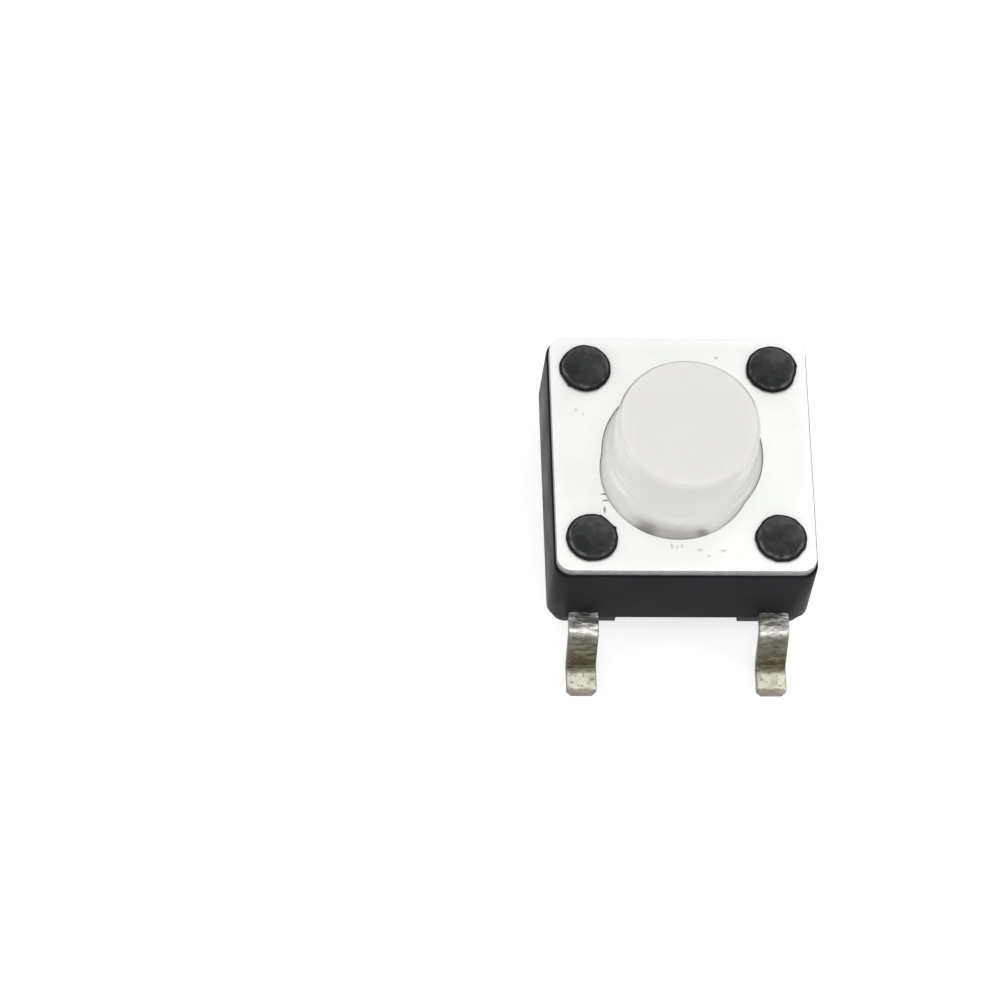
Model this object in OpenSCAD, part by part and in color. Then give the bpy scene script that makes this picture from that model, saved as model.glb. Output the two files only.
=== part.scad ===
/* [Body] */
// Side of the square cover plate
body_w = 6.0; // [5.8:0.05:6.4]
// Height of the cover's top face above the board
cover_top = 3.45; // [3.3:0.05:3.8]
// Thickness of the sheet metal cover
cover_t = 0.27; // [0.2:0.01:0.35]
// Rounding of the body's upright corners
corner_r = 0.35; // [0.2:0.05:0.5]
// Height of the wall's lower edge above the board
wall_z = 0.98; // [0.9:0.02:1.0]
// Height of the two ribs' faces above the board
rib_z = 0.2; // [0.1:0.02:0.3]

/* [Plunger] */
// Height of the pressed face above the board
total_h = 5.0; // [4.3:0.1:7.0]
// Width of the cover from its edge to the plunger's side
cover_rim = 1.3; // [1.25:0.01:1.35]
// How much the plunger's radius tapers from the cover to the top
taper = 0.05; // [0.02:0.01:0.1]
// Rounding of the plunger's top edge
edge_r = 0.13; // [0.05:0.01:0.2]
// Gap all round between the plunger and the cover's hole
hole_gap = 0.17; // [0.14:0.01:0.2]
// How far the hole reaches past its round towards the front left
relief = 0.37; // [0.3:0.01:0.4]
// Travel from rest to the contact closing
travel = 0.25; // [0.15:0.05:0.3]

/* [Staked posts] */
// Distance from the cover's edge to a post's centre
post_margin = 0.82; // [0.8:0.01:0.9]
// Diameter of the post's shank in the cover
post_d = 1.0; // [0.8:0.05:1.1]
// Diameter of the flattened head
head_d = 1.2; // [1.15:0.05:1.3]
// Height of the head's crown above the cover
head_h = 0.22; // [0.12:0.01:0.26]

/* [Leads] */
// Distance from the cover's side to a lead's middle
lead_margin = 0.78; // [0.72:0.01:0.85]
// Width of a lead
lead_w = 0.7; // [0.6:0.05:0.8]
// Thickness of the strip
lead_t = 0.25; // [0.2:0.01:0.28]
// How far each lead reaches out from the cover's side
lead_reach = 1.61; // [1.5:0.01:1.8]
// Length of the flat foot
foot_l = 0.56; // [0.4:0.01:0.6]
// Cut across each corner of a foot's tip
tip_cut = 0.09; // [0.04:0.01:0.15]
// Slope of the lead's leg below the horizontal
leg_angle = 68; // [60:1:80]

/* [Hidden] */
$fn = 96;
half = body_w / 2;
k = half / 3;
plunger_d = 2 * (half - cover_rim);
plunger_top_d = plunger_d - 2 * taper;
base_half = half + 0.05;
base_top = cover_top - cover_t;
hole_r = plunger_d / 2 + hole_gap;
relief_r = hole_r - 0.11;
relief_turn = 249;
relief_c = (relief + hole_r - relief_r) * [cos(relief_turn), sin(relief_turn)];
collar_r = hole_r - 0.035;
flare_z = cover_top - 0.07;
key_r = relief_r - 0.045;
post_c = half - post_margin;
lead_c = half - lead_margin;
hair = 0.015;

// Levels inside the body
root_z = 1.03;
strip_top = root_z + lead_t;
floor_z = strip_top + 0.17;
cavity_r = plunger_d / 2 + 0.6;
flange_r = cavity_r - 0.09;
flange_top = base_top - 0.02;
flange_t = 0.6;
flange_fall = 0.2;
dome_r = cavity_r - 0.2;
dome_t = 0.06;
pad_rise = 0.05;
dome_h = travel + pad_rise + 0.01;
dome_top = floor_z + dome_h + dome_t;
boss_r = dome_r * 0.39;
boss_end = dome_top + 0.01;

// Underside, measured from the middle of the body
rib_in = 0.92 * k;
rib_out = 1.42 * k;
frame_z = 0.48;
block_z = 0.56;
pocket_z = 0.95;
pocket_x = 0.6 * k;
foot_in = 0.09;
slope_back = 2.4 * k;
step_back = 1.67 * k;
step_front = -2.18 * k;
ramp_end = -1.35 * k;
pockets = [[1.5, 2.58] * k, [-0.47, 0.62] * k, [-2.45, -1.47] * k];

// Contacts of the two strips
centre_pad_r = dome_r * 0.205;
outer_pad_r = 0.25 * k;
pad_turn = 66.4;
outer_pad = (dome_r - 0.175) * [cos(pad_turn), sin(pad_turn)];
tongue_w = 0.6 * k;

// Square plate with four round corners
module round_square(h2, r, z0, z1) {
    translate([-h2 + r, -h2, z0]) cube([2 * (h2 - r), 2 * h2, z1 - z0]);
    translate([-h2, -h2 + r, z0]) cube([2 * h2, 2 * (h2 - r), z1 - z0]);
    for (x = [-1, 1], y = [-1, 1])
        translate([x * (h2 - r), y * (h2 - r), z0]) cylinder(h = z1 - z0, r = r);
}

// Prism along X from a profile given as [y, z] points
module along_x(x0, x1, points) {
    translate([x0, 0, 0]) rotate([90, 0, 90]) linear_extrude(height = x1 - x0) polygon(points);
}

// One moulded post with its heat-staked head
module post() {
    rotate_extrude() polygon([
        [0, base_top - 0.3],
        [post_d / 2, base_top - 0.3],
        [post_d / 2, cover_top],
        [head_d / 2 - 0.02, cover_top],
        [head_d / 2, cover_top + 0.02],
        [head_d / 2, cover_top + head_h * 0.3],
        [head_d / 2 - 0.03, cover_top + head_h * 0.6],
        [head_d / 2 - 0.09, cover_top + head_h * 0.84],
        [head_d / 2 - 0.18, cover_top + head_h * 0.96],
        [head_d / 2 - 0.3, cover_top + head_h],
        [0, cover_top + head_h],
    ]);
}

// Stepped and ramped foot on one side of the underside
module side_foot(x0, x1) {
    along_x(x0, x1, [
        [base_half - foot_in, wall_z + 0.05],
        [base_half - foot_in, wall_z - 0.45],
        [slope_back, rib_z],
        [step_back, rib_z],
        [step_back, wall_z - 0.02],
        [ramp_end, rib_z],
        [step_front, rib_z],
        [step_front, wall_z - 0.01],
        [-base_half + foot_in, wall_z - 0.38],
        [-base_half + foot_in, wall_z + 0.05],
    ]);
}

module rib(x0, x1) {
    along_x(x0, x1, [
        [base_half - 0.06, wall_z + 0.05],
        [base_half - 0.06, rib_z + 0.18],
        [base_half - 0.2, rib_z],
        [-base_half + 0.38, rib_z],
        [-base_half + 0.18, wall_z - 0.3],
        [-base_half + 0.18, wall_z + 0.05],
    ]);
}

module underside() {
    intersection() {
        round_square(base_half - foot_in, corner_r, rib_z - 0.01, wall_z + 0.04);
        union() {
            side_foot(rib_out, base_half);
            side_foot(-base_half, -rib_out);
        }
    }
    rib(rib_in, rib_out);
    rib(-rib_out, -rib_in);
    difference() {
        translate([-rib_in, -base_half + 0.26, frame_z])
            cube([2 * rib_in, 2 * base_half - 0.35, wall_z - frame_z + 0.05]);
        translate([-pocket_x, pockets[2][0], frame_z - 0.1])
            cube([2 * pocket_x, pockets[0][1] - pockets[2][0], block_z - frame_z + 0.1]);
    }
}

module base_housing() {
    color("#2e2f33") difference() {
        union() {
            round_square(base_half, corner_r, wall_z, base_top);
            underside();
            for (x = [-1, 1], y = [-1, 1]) translate([x * post_c, y * post_c, 0]) post();
        }
        translate([0, 0, floor_z]) cylinder(h = base_top - floor_z + 1, r = cavity_r);
        for (p = pockets)
            translate([-pocket_x, p[0], 0]) cube([2 * pocket_x, p[1] - p[0], pocket_z]);
        centre_strip();
        outer_strip();
        translate([0, 0, strip_top - 0.02])
            cylinder(h = floor_z - strip_top + 0.1, r = centre_pad_r + hair);
        for (y = [-1, 1])
            translate([outer_pad[0], y * outer_pad[1], strip_top - 0.02])
                cylinder(h = floor_z - strip_top + 0.1, r = outer_pad_r + hair);
    }
}

module cover_plate() {
    color("#e8eaec") difference() {
        round_square(half, corner_r, base_top, cover_top);
        translate([0, 0, base_top - cover_t]) cylinder(h = 3 * cover_t, r = hole_r);
        translate([relief_c[0], relief_c[1], base_top - cover_t]) cylinder(h = 3 * cover_t, r = relief_r);
        for (x = [-1, 1], y = [-1, 1])
            translate([x * post_c, y * post_c, base_top - cover_t])
                cylinder(h = 3 * cover_t, r = post_d / 2 + hair);
    }
}

// Shallow lug of the plunger that stands in the hole's relief and keeps it from turning
module plunger_key() {
    low = flange_top - flange_fall - 0.05;
    translate([relief_c[0], relief_c[1], 0]) rotate_extrude() polygon([
        [0, low],
        [key_r, low],
        [key_r, flare_z - 0.09],
        [key_r - 0.03, flare_z - 0.065],
        [key_r - relief, flare_z - 0.01],
        [0, flare_z - 0.01],
    ]);
}

module plunger_turned() {
    r1 = plunger_d / 2;
    r2 = plunger_top_d / 2;
    slope = (r1 - r2) / (total_h - cover_top);
    rotate_extrude() polygon(concat(
        [
            [0, boss_end],
            [boss_r - 0.12, boss_end],
            [boss_r, boss_end + 0.12],
            [boss_r, flange_top - flange_t],
            [flange_r - 0.05, flange_top - flange_t],
            [flange_r, flange_top - flange_t + 0.05],
            [flange_r, flange_top - flange_fall],
            [hole_r + 0.03, flange_top],
            [collar_r, flange_top],
            [collar_r, flare_z],
            [collar_r - 0.03, flare_z + 0.025],
            [r1 + 0.04, flare_z + 0.06],
            [r1 + 0.012, flare_z + 0.13],
            [r1 - slope * 0.15, cover_top + 0.15],
        ],
        [for (i = [0 : 8])
            let (a = i * 90 / 8)
            [r2 + slope * edge_r - edge_r * (1 - cos(a)), total_h - edge_r * (1 - sin(a))]],
        [[0, total_h]]
    ));
}

module plunger() {
    color("#e9e8e4") union() {
        plunger_turned();
        plunger_key();
    }
}

module contact_dome() {
    big = (dome_r * dome_r + dome_h * dome_h) / (2 * dome_h);
    low = floor_z + dome_h - big;
    edge = asin(dome_r / big);
    n = 10;
    color("#c9cbcd") rotate_extrude() polygon(concat(
        [for (i = [0 : n]) let (a = i * edge / n) [big * sin(a), low + big * cos(a)]],
        [[dome_r + 0.04, floor_z]],
        [for (i = [n : -1 : 0]) let (a = i * edge / n)
            [(big + dome_t) * sin(a), low + (big + dome_t) * cos(a)]]
    ));
}

// Side profile of a bent lead as [distance from the middle, height]
function bend(c, r, a0, a1, n) = [
    for (i = [0 : n]) let (a = a0 + (a1 - a0) * i / n) [c[0] + r * cos(a), c[1] + r * sin(a)]
];
bend_r = 0.13;
leg_fall = root_z - 2 * (bend_r + lead_t / 2) * (1 - cos(leg_angle));
leg_run = leg_fall / tan(leg_angle) + 2 * (bend_r + lead_t / 2) * sin(leg_angle);
tip_u = half + lead_reach;
heel_u = tip_u - foot_l;
knee_u = heel_u - leg_run;
upper_c = [knee_u, strip_top - lead_t - bend_r];
lower_c = [heel_u, lead_t + bend_r];

function lead_profile(u0) = concat(
    [[u0, root_z]],
    bend(upper_c, bend_r, 90, 90 - leg_angle, 6),
    bend(lower_c, bend_r + lead_t, 270 - leg_angle, 270, 6),
    [[tip_u - 0.03, 0], [tip_u, 0.03], [tip_u, lead_t - 0.09], [tip_u - 0.06, lead_t]],
    bend(lower_c, bend_r, 270, 270 - leg_angle, 6),
    bend(upper_c, bend_r + lead_t, 90 - leg_angle, 90, 6),
    [[u0, strip_top]]
);

module lead(x) {
    difference() {
        translate([x - lead_w / 2, 0, 0]) rotate([90, 0, 90])
            linear_extrude(height = lead_w) polygon(lead_profile(half - 2));
        for (s = [-1, 1])
            translate([x + s * lead_w / 2, tip_u, lead_t / 2]) rotate([0, 0, 45])
                cube([tip_cut * sqrt(2), tip_cut * sqrt(2), lead_t + 0.1], center = true);
    }
}

// A strip runs front to back along one side and ends in two leads
module strip_leads(x) {
    lead(x);
    mirror([0, 1, 0]) lead(x);
    translate([x - lead_w / 2, -(half - 1.9), root_z]) cube([lead_w, 2 * (half - 1.9), lead_t]);
}

module centre_strip() {
    strip_leads(-lead_c);
    translate([-lead_c, -tongue_w / 2, root_z]) cube([lead_c + centre_pad_r + 0.1, tongue_w, lead_t]);
}

module outer_strip() {
    strip_leads(lead_c);
    for (y = [-1, 1])
        translate([outer_pad[0] - 0.35 * k, y * outer_pad[1] - tongue_w / 2, root_z])
            cube([lead_c - outer_pad[0] + 0.35 * k, tongue_w, lead_t]);
}

module terminal_centre() {
    color("#d8d6cf") union() {
        centre_strip();
        translate([0, 0, strip_top - 0.1])
            cylinder(h = floor_z + pad_rise - strip_top + 0.1, r = centre_pad_r - 0.15);
        translate([0, 0, strip_top - 0.01])
            cylinder(h = floor_z - strip_top + 0.01, r = centre_pad_r);
    }
}

module terminal_outer() {
    color("#d8d6cf") union() {
        outer_strip();
        for (y = [-1, 1])
            translate([outer_pad[0], y * outer_pad[1], strip_top - 0.01])
                cylinder(h = floor_z - strip_top + 0.01, r = outer_pad_r);
    }
}

base_housing();
cover_plate();
plunger();
contact_dome();
terminal_centre();
terminal_outer();
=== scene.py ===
"""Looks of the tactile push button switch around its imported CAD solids."""

import math
import random

import bmesh
import bpy
from mathutils import Matrix, Vector, noise
from mathutils.geometry import delaunay_2d_cdt


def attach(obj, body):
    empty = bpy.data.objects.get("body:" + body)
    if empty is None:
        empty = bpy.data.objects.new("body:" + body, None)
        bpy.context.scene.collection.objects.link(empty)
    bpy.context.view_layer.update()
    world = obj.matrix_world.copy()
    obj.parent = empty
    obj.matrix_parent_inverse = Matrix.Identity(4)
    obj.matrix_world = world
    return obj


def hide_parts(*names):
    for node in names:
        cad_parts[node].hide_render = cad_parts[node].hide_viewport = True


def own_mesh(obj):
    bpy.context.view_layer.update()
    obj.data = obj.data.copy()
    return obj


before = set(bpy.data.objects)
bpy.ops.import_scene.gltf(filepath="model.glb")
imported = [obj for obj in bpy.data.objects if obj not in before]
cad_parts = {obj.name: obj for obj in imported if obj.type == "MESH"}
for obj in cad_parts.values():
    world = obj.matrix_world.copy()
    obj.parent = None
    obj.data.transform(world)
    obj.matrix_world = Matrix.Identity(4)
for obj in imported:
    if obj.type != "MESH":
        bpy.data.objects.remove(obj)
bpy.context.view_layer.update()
MM = 0.001

# Sizes are in millimetres. What the part's source names too has the same value here, apart from COLLAR_R,
# KEY_R and FLARE_Z, which lie closer to the cover than in the solids. Widths of small edges are added
BODY_W = 6.0
COVER_TOP = 3.45
COVER_T = 0.27
CORNER_R = 0.35
WALL_Z = 0.98
HALF = BODY_W / 2
BASE_HALF = HALF + 0.05
BASE_TOP = COVER_TOP - COVER_T
CORNERS = ((-1, -1), (1, -1), (1, 1), (-1, 1))

# Underside, its levels and its places from back to front
RIB_Z = 0.2
FRAME_Z = 0.48
BLOCK_Z = 0.56
POCKET_Z = 0.95
TOE_BACK_Z = WALL_Z - 0.45
TOE_FRONT_Z = WALL_Z - 0.38
RIB_IN = 0.92
RIB_OUT = 1.42
FOOT_IN = 0.09
SLOPE_BACK = 2.4
STEP_BACK = 1.67
RAMP_END = -1.35
STEP_FRONT = -2.18
POCKET_X = 0.6
POCKETS = ((1.5, 2.58), (-0.47, 0.62), (-2.45, -1.47))
# Level inside the body up to which the underside's pieces reach, so that they join it
INNER_Z = WALL_Z + 0.12

# Plunger and the cover's hole, with the relief that holds the plunger's key; COVER_RIM is how far the
# plunger's side stands in from the cover's edge
TOTAL_H = 5.0
COVER_RIM = 1.3
TAPER = 0.05
EDGE_R = 0.13
HOLE_GAP = 0.17
RELIEF = 0.37
RELIEF_TURN = math.radians(249)
TRAVEL = 0.25
RUNNING_GAP = 0.008
PLUNGER_R = HALF - COVER_RIM
PLUNGER_TOP_R = PLUNGER_R - TAPER
HOLE_R = PLUNGER_R + HOLE_GAP
RELIEF_R = HOLE_R - 0.11
COLLAR_R = HOLE_R - RUNNING_GAP
KEY_R = RELIEF_R - RUNNING_GAP
FLARE_Z = COVER_TOP - 0.03
FLARE_H = 0.15

# Staked posts
POST_MARGIN = 0.82
POST_C = HALF - POST_MARGIN
POST_R = 0.5
HEAD_R = 0.6
HEAD_H = 0.22
HAIR = 0.015

# Leads and the strips inside, with distances out from the middle ending in U
LEAD_MARGIN = 0.78
LEAD_REACH = 1.61
LEAD_C = HALF - LEAD_MARGIN
LEAD_W = 0.7
LEAD_T = 0.25
LEAD_EDGE = 0.035
LEAD_START_U = 2.62
STRIP_HALF = 2.63
TIP_U = HALF + LEAD_REACH
FOOT_L = 0.56
TIP_CUT = 0.09
ROOT_Z = 1.03
BEND_R = 0.13
LEG_TURN = math.radians(68)
STRIP_TOP = ROOT_Z + LEAD_T
MID_R = BEND_R + LEAD_T / 2
LEG_FALL = ROOT_Z - 2 * MID_R * (1 - math.cos(LEG_TURN))
LEG_RUN = LEG_FALL / math.tan(LEG_TURN) + 2 * MID_R * math.sin(LEG_TURN)
HEEL_U = TIP_U - FOOT_L
KNEE_U = HEEL_U - LEG_RUN
# End of the uneven plating near a lead's root
UNEVEN_U = 3.62
# Rings counted from a lead's tip: how much its half width shrinks and what is left of its thickness
TIP_TAPER = {0: (TIP_CUT, 0.84), 1: (TIP_CUT * 0.6, 0.97)}

# Cavity with the flange, the snap dome and the contact pads
PAD_RISE = 0.05
FLOOR_Z = STRIP_TOP + 0.17
CAVITY_R = PLUNGER_R + 0.6
FLANGE_R = CAVITY_R - 0.09
FLANGE_TOP = BASE_TOP - 0.02
FLANGE_T = 0.6
FLANGE_FALL = 0.2
DOME_R = CAVITY_R - 0.2
DOME_T = 0.06
DOME_H = TRAVEL + PAD_RISE + 0.01
DOME_TOP = FLOOR_Z + DOME_H + DOME_T
BOSS_R = DOME_R * 0.39
BOSS_END = DOME_TOP + 0.01
CENTRE_PAD_R = DOME_R * 0.205
OUTER_PAD_R = 0.25
OUTER_PAD_OUT = DOME_R - 0.175
PAD_TURN = math.radians(66.4)
OUTER_PAD_X = OUTER_PAD_OUT * math.cos(PAD_TURN)
OUTER_PAD_Y = OUTER_PAD_OUT * math.sin(PAD_TURN)
TONGUE_W = 0.6


def new_object(name, bm):
    """Makes an object of a finished mesh and links it to the scene."""
    bmesh.ops.recalc_face_normals(bm, faces=bm.faces)
    mesh = bpy.data.meshes.new(name)
    bm.to_mesh(mesh)
    bm.free()
    obj = bpy.data.objects.new(name, mesh)
    bpy.context.scene.collection.objects.link(obj)
    return obj


def prism(points, z0, z1):
    """Upright prism over a closed outline of (x, y) points."""
    bm = bmesh.new()
    low = [bm.verts.new((x, y, z0)) for x, y in points]
    high = [bm.verts.new((x, y, z1)) for x, y in points]
    n = len(points)
    bm.faces.new(low)
    bm.faces.new(high)
    for i in range(n):
        bm.faces.new((low[i], low[(i + 1) % n], high[(i + 1) % n], high[i]))
    return bm


def box(x0, x1, y0, y1, z0, z1):
    return prism([(x0, y0), (x1, y0), (x1, y1), (x0, y1)], z0, z1)


def along_x(x0, x1, points):
    """Prism along X from a profile of (y, z) points."""
    bm = prism(points, x0, x1)
    bm.transform(Matrix(((0, 0, 1, 0), (1, 0, 0, 0), (0, 1, 0, 0), (0, 0, 0, 1))))
    return bm


def rounded(half, r, steps=10):
    """Closed loop of a square with round corners."""
    loop = []
    for sx, sy, start in ((1, 1, 0), (-1, 1, 90), (-1, -1, 180), (1, -1, 270)):
        for i in range(steps + 1):
            a = math.radians(start + 90 * i / steps)
            loop.append((sx * (half - r) + r * math.cos(a), sy * (half - r) + r * math.sin(a)))
    return loop


def circle(cx, cy, r, n):
    """Closed loop of n points about a centre."""
    turns = [2 * math.pi * i / n for i in range(n)]
    return [(cx + r * math.cos(a), cy + r * math.sin(a)) for a in turns]


def revolve(profile, n, wobble=None):
    """Solid of revolution from (r, z) points; wobble(angle, ring) scales a radius."""
    bm = bmesh.new()
    rings = []
    for k, (r, z) in enumerate(profile):
        if r < 1e-6:
            rings.append([bm.verts.new((0, 0, z))])
            continue
        ring = []
        for i in range(n):
            a = 2 * math.pi * i / n
            reach = r * (wobble(a, k) if wobble else 1)
            ring.append(bm.verts.new((reach * math.cos(a), reach * math.sin(a), z)))
        rings.append(ring)
    for a, b in zip(rings, rings[1:]):
        for i in range(n):
            j = (i + 1) % n
            if len(a) == 1:
                bm.faces.new((a[0], b[i], b[j]))
            elif len(b) == 1:
                bm.faces.new((a[i], a[j], b[0]))
            else:
                bm.faces.new((a[i], a[j], b[j], b[i]))
    return bm


def inside_loop(p, loop):
    """Whether a point lies inside a closed loop: a ray from it then crosses an odd number of sides."""
    hit, n = False, len(loop)
    for i in range(n):
        a, b = loop[i].co, loop[(i + 1) % n].co
        if (a.y > p.y) != (b.y > p.y) and p.x < (b.x - a.x) * (p.y - a.y) / (b.y - a.y) + a.x:
            hit = not hit
    return hit


def fill_level(bm, loops):
    """Flat face inside the first loop and outside the others."""
    verts = [v for loop in loops for v in loop]
    flat = [v.co.to_2d() for v in verts]
    lines, start = [], 0
    for loop in loops:
        n = len(loop)
        lines += [(start + i, start + (i + 1) % n) for i in range(n)]
        start += n
    triangles = delaunay_2d_cdt(flat, lines, [], 1, 1e-9)[2]
    for tri in triangles:
        middle = sum((flat[i] for i in tri), Vector((0, 0))) / 3
        if inside_loop(middle, loops[0]) and not any(inside_loop(middle, hole) for hole in loops[1:]):
            bm.faces.new([verts[i] for i in tri])


def plate(loops, edges):
    """Flat plate with holes, built up through the (inset, z) levels of its edges.

    loops(inset) gives the outer loop first and then the holes.
    """
    bm = bmesh.new()
    levels = [[[bm.verts.new((x, y, z)) for x, y in loop] for loop in loops(inset)] for inset, z in edges]
    for a, b in zip(levels, levels[1:]):
        for low, high in zip(a, b):
            n = len(low)
            for i in range(n):
                bm.faces.new((low[i], low[(i + 1) % n], high[(i + 1) % n], high[i]))
    fill_level(bm, levels[0])
    fill_level(bm, levels[-1])
    return bm


def apply_all(obj):
    """Replaces an object's mesh by the result of its modifiers."""
    graph = bpy.context.evaluated_depsgraph_get()
    graph.update()
    mesh = bpy.data.meshes.new_from_object(obj.evaluated_get(graph))
    obj.modifiers.clear()
    obj.data = mesh


def boolean(target, tool, operation):
    """Exact boolean applied at once; the tool is removed."""
    mod = target.modifiers.new("cut", "BOOLEAN")
    mod.operation = operation
    mod.solver = "EXACT"
    mod.object = tool
    apply_all(target)
    bpy.data.objects.remove(tool)


def add(target, name, bm, operation="UNION"):
    boolean(target, new_object(name, bm), operation)


def bevel(obj, width):
    """Rounds the sharp edges of a piece in two steps."""
    mod = obj.modifiers.new("edge", "BEVEL")
    mod.width = width
    mod.segments = 2
    mod.limit_method = "ANGLE"
    mod.angle_limit = math.radians(35)
    mod.use_clamp_overlap = False
    apply_all(obj)


def to_metres(obj, angle=38):
    """Scales a finished piece to metres and smooths it, apart from edges sharper than the angle."""
    obj.data.transform(Matrix.Scale(MM, 4))
    for p in obj.data.polygons:
        p.use_smooth = True
    obj.data.set_sharp_from_angle(angle=math.radians(angle))
    obj.data.update()
    return obj


# Base housing
BODY_EDGE = 0.045
FOOT_EDGE = 0.025
OVERLAP = 0.02


def side_foot(x0, x1):
    """Stepped and ramped foot on one side, as three prisms that reach up into the body."""
    b = BASE_HALF - FOOT_IN
    back = [(b, INNER_Z), (b, TOE_BACK_Z), (SLOPE_BACK, RIB_Z), (STEP_BACK, RIB_Z), (STEP_BACK, INNER_Z)]
    ramp = [
        (STEP_BACK, INNER_Z), (STEP_BACK, WALL_Z - 0.02), (RAMP_END, RIB_Z), (STEP_FRONT, RIB_Z),
        (STEP_FRONT, INNER_Z),
    ]
    front = [(STEP_FRONT, INNER_Z), (STEP_FRONT, WALL_Z - 0.01), (-b, TOE_FRONT_Z), (-b, INNER_Z)]
    outline = prism(rounded(b, CORNER_R), RIB_Z - 0.01, INNER_Z)
    pieces = []
    for points in (back, ramp, front):
        foot = new_object("foot", along_x(x0, x1, points))
        boolean(foot, new_object("outline", outline.copy()), "INTERSECT")
        pieces.append(foot)
    outline.free()
    return pieces


def rib(x0, x1):
    """Long rib beside the centre frame, chamfered at the back and sloped at the front."""
    b = BASE_HALF
    return along_x(x0, x1, [
        (b - 0.06, INNER_Z), (b - 0.06, RIB_Z + 0.18), (b - 0.2, RIB_Z), (-b + 0.38, RIB_Z),
        (-b + 0.18, WALL_Z - 0.3), (-b + 0.18, INNER_Z),
    ])


def centre_frame():
    """Frame between the ribs with one long channel, and the two bars that part it into pockets."""
    side = RIB_IN + OVERLAP
    grid = new_object("grid", box(-side, side, -BASE_HALF + 0.26, BASE_HALF - 0.09, FRAME_Z, INNER_Z))
    channel = box(-POCKET_X, POCKET_X, POCKETS[2][0], POCKETS[0][1], 0, POCKET_Z)
    add(grid, "channel", channel, "DIFFERENCE")
    pieces, reach = [grid], POCKET_X + 0.05
    for ahead, behind in zip(POCKETS[1:], POCKETS):
        bar = box(-reach, reach, ahead[1], behind[0], BLOCK_Z, INNER_Z + 0.03)
        pieces.append(new_object("bar", bar))
    return pieces


# Outline of a staked head OUTLINE_H high, from its underside over the rolled rim to the top, as
# (in from the rim, up from the cover)
OUTLINE_H = 0.22
HEAD_OUTLINE = (
    (0.03, -0.002), (0.008, 0.008), (0, 0.028), (0.006, 0.048), (0.028, 0.062), (0.058, 0.067),
    (0.072, 0.085), (0.088, 0.118), (0.118, 0.146), (0.17, 0.168), (0.25, 0.188), (0.35, 0.202),
    (0.47, 0.209), (HEAD_R, 0.211),
)
# Burrs and flats on the rims of the four heads: (degrees, reach, width)
HEAD_BURRS = (
    ((25, 0.075, 0.05), (68, 0.05, 0.035), (46, -0.03, 0.24), (101, 0.02, 0.03), (117, 0.03, 0.03)),
    ((118, 0.03, 0.05), (145, -0.035, 0.26), (166, 0.02, 0.05)),
    ((9, 0.04, 0.045), (-20, -0.045, 0.36)),
    ((229, 0.05, 0.05), (140, -0.03, 0.3), (212, -0.03, 0.16)),
)


def staked_head(seed, burrs):
    """A post's shank and flattened head, its rim uneven as the hot tool left it."""
    rnd = random.Random(seed)
    waves = [(k, rnd.uniform(0.002, 0.007), rnd.uniform(0, 6.28)) for k in (3, 4, 6, 9, 14)]
    shank = [(0, BASE_TOP - 0.3), (POST_R, BASE_TOP - 0.3), (POST_R, COVER_TOP - 0.002)]
    head = [(HEAD_R - inward, COVER_TOP + up * HEAD_H / OUTLINE_H) for inward, up in HEAD_OUTLINE]
    rings = len(shank) + len(head)
    burr_end = len(shank) + 3

    def wobble(a, ring):
        if ring < len(shank):
            return 1
        change = sum(size * math.sin(count * a + start) for count, size, start in waves)
        for at, reach, width in burrs:
            off = (a - math.radians(at) + math.pi) % (2 * math.pi) - math.pi
            if reach < 0 or ring <= burr_end:
                share = 0.5 if ring == burr_end and reach > 0 else 1
                change += reach * math.exp(-((off / width) ** 2)) * share
        return 1 + change * min(1, (rings - ring) / 8)

    bm = revolve(shank + head, 96, wobble)
    for v in bm.verts:
        if v.co.z > COVER_TOP + 0.1:
            place = Vector((v.co.x * 2.6 + seed * 7.1, v.co.y * 2.6, seed))
            v.co.z += 0.012 * noise.noise(place) - 0.004
    return bm


def base_housing():
    """Body block with its underside, cavity, slots for the strips and staked posts."""
    outline = rounded(BASE_HALF, CORNER_R)
    obj = new_object("housing_moulding", prism(outline, WALL_Z, BASE_TOP - 0.012))
    bevel(obj, BODY_EDGE)
    feet = side_foot(RIB_OUT, BASE_HALF) + side_foot(-BASE_HALF, -RIB_OUT)
    ribs = [new_object("rib", rib(RIB_IN, RIB_OUT)), new_object("rib", rib(-RIB_OUT, -RIB_IN))]
    for piece in feet + centre_frame() + ribs:
        bevel(piece, FOOT_EDGE)
        boolean(obj, piece, "UNION")
    add(obj, "cavity", prism(circle(0, 0, CAVITY_R, 96), FLOOR_Z, TOTAL_H), "DIFFERENCE")
    for x in (-LEAD_C, LEAD_C):
        add(obj, "slot", box(x - LEAD_W / 2, x + LEAD_W / 2, -4, 4, ROOT_Z, STRIP_TOP), "DIFFERENCE")
    for k, (sx, sy) in enumerate(CORNERS):
        bm = staked_head(k + 3, HEAD_BURRS[k])
        bmesh.ops.translate(bm, verts=bm.verts, vec=(sx * POST_C, sy * POST_C, 0))
        add(obj, "post", bm)
    return to_metres(obj)


# Cover plate
def relief_reach(a, r):
    """Distance from the middle to a circle of radius r about the relief's centre."""
    centre = RELIEF + HOLE_R - RELIEF_R
    along = centre * math.cos(a - RELIEF_TURN)
    return along + math.sqrt(r ** 2 - centre ** 2 + along ** 2)


def hole_outline(inset, n=180):
    """The cover's hole: a round with a shallow relief towards the front left."""
    loop = []
    for i in range(n):
        a = 2 * math.pi * i / n
        r = max(HOLE_R + inset, relief_reach(a, RELIEF_R + inset))
        loop.append((r * math.cos(a), r * math.sin(a)))
    return loop


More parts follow.
